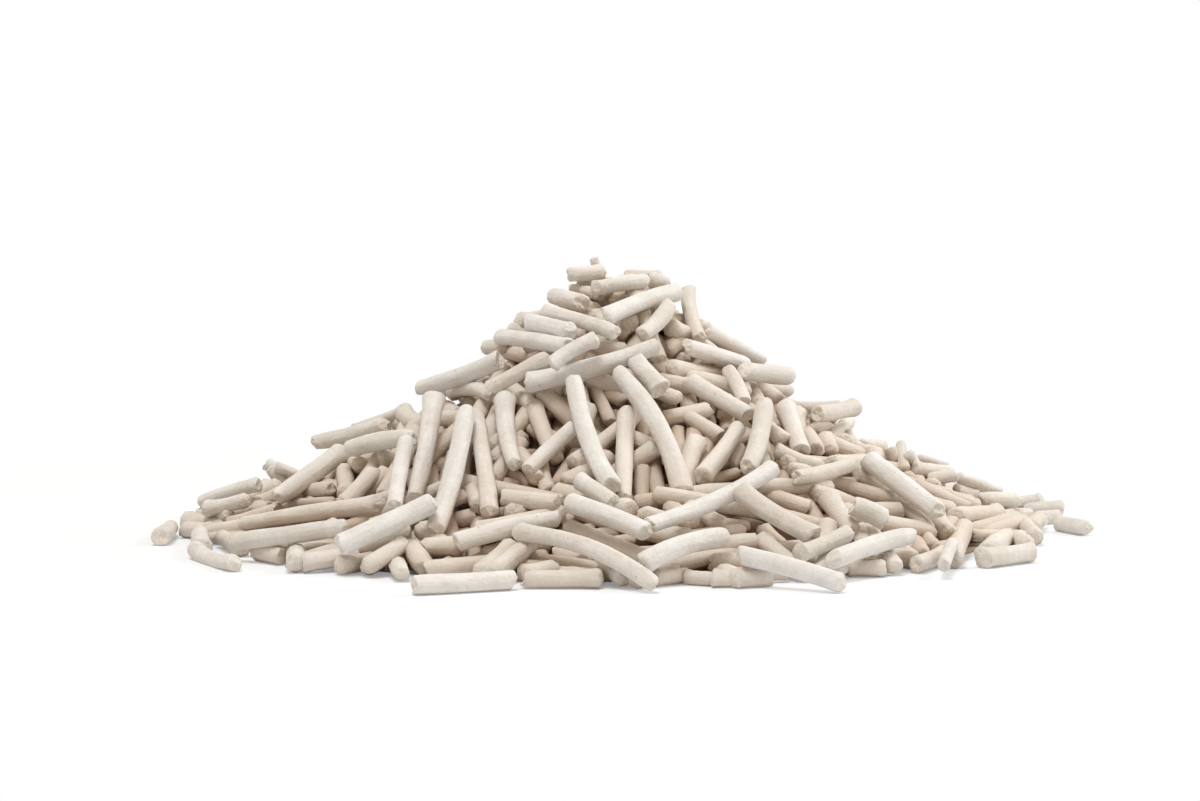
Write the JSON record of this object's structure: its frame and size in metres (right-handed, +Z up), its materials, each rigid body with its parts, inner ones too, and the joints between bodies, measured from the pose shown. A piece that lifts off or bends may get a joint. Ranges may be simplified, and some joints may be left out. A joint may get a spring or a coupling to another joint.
{
  "type": "cat litter pellet heap",
  "caption": "Low cone-shaped heap of off-white, rod-shaped plant-fibre cat litter pellets, poured on a flat surface, with loose pellets on top and a flat underside.",
  "frame": {"origin": "on the flat underside, below the middle of the heap, where the heap rests on its surface", "axes": "+Z up, away from the surface; -Y towards the side that the picture shows; +X to the right of that view"},
  "size_m": [0.1412, 0.1406, 0.0423],
  "materials": {
    "litter_bed": "matt pressed plant fibre, off-white, chalky",
    "litter_pale": "matt pressed plant fibre, pale, chalky",
    "litter_cream": "matt pressed plant fibre, cream, chalky",
    "litter_tan": "matt pressed plant fibre, tan, chalky"
  },
  "bodies": {
    "root": {"litter_bed": "litter_bed", "pellet_crown_01": "litter_pale", "pellet_crown_02": "litter_cream", "pellet_crown_03": "litter_tan", "pellet_crown_04": "litter_pale", "pellet_crown_05": "litter_cream", "pellet_crown_06": "litter_tan", "pellet_crown_07": "litter_pale", "pellet_crown_08": "litter_cream", "pellet_crown_09": "litter_tan", "pellet_shoulder_01": "litter_pale", "pellet_shoulder_02": "litter_cream", "pellet_shoulder_03": "litter_tan", "pellet_shoulder_04": "litter_pale", "pellet_shoulder_05": "litter_cream", "pellet_shoulder_06": "litter_tan", "pellet_shoulder_07": "litter_pale", "pellet_shoulder_08": "litter_cream", "pellet_shoulder_09": "litter_tan", "pellet_left_01": "litter_pale", "pellet_left_02": "litter_cream", "pellet_left_03": "litter_tan", "pellet_left_04": "litter_pale", "pellet_left_05": "litter_cream", "pellet_left_06": "litter_tan", "pellet_left_07": "litter_pale", "pellet_left_08": "litter_cream", "pellet_middle_01": "litter_tan", "pellet_middle_02": "litter_pale", "pellet_middle_03": "litter_cream", "pellet_middle_04": "litter_tan", "pellet_middle_05": "litter_pale", "pellet_middle_06": "litter_cream", "pellet_middle_07": "litter_tan", "pellet_middle_08": "litter_pale", "pellet_middle_09": "litter_cream", "pellet_right_01": "litter_tan", "pellet_right_02": "litter_pale", "pellet_right_03": "litter_cream", "pellet_right_04": "litter_tan", "pellet_right_05": "litter_pale", "pellet_right_06": "litter_cream", "pellet_right_07": "litter_tan", "pellet_front_01": "litter_pale", "pellet_front_02": "litter_cream", "pellet_front_03": "litter_tan", "pellet_front_04": "litter_pale", "pellet_front_05": "litter_cream", "pellet_front_06": "litter_tan", "pellet_front_07": "litter_pale", "pellet_front_08": "litter_cream", "pellet_front_09": "litter_tan", "pellet_front_10": "litter_pale", "pellet_foot_01": "litter_cream", "pellet_foot_02": "litter_tan", "pellet_foot_03": "litter_pale", "pellet_foot_04": "litter_cream", "pellet_foot_05": "litter_tan", "pellet_foot_06": "litter_pale", "pellet_foot_07": "litter_cream"}
  },
  "joints": []
}
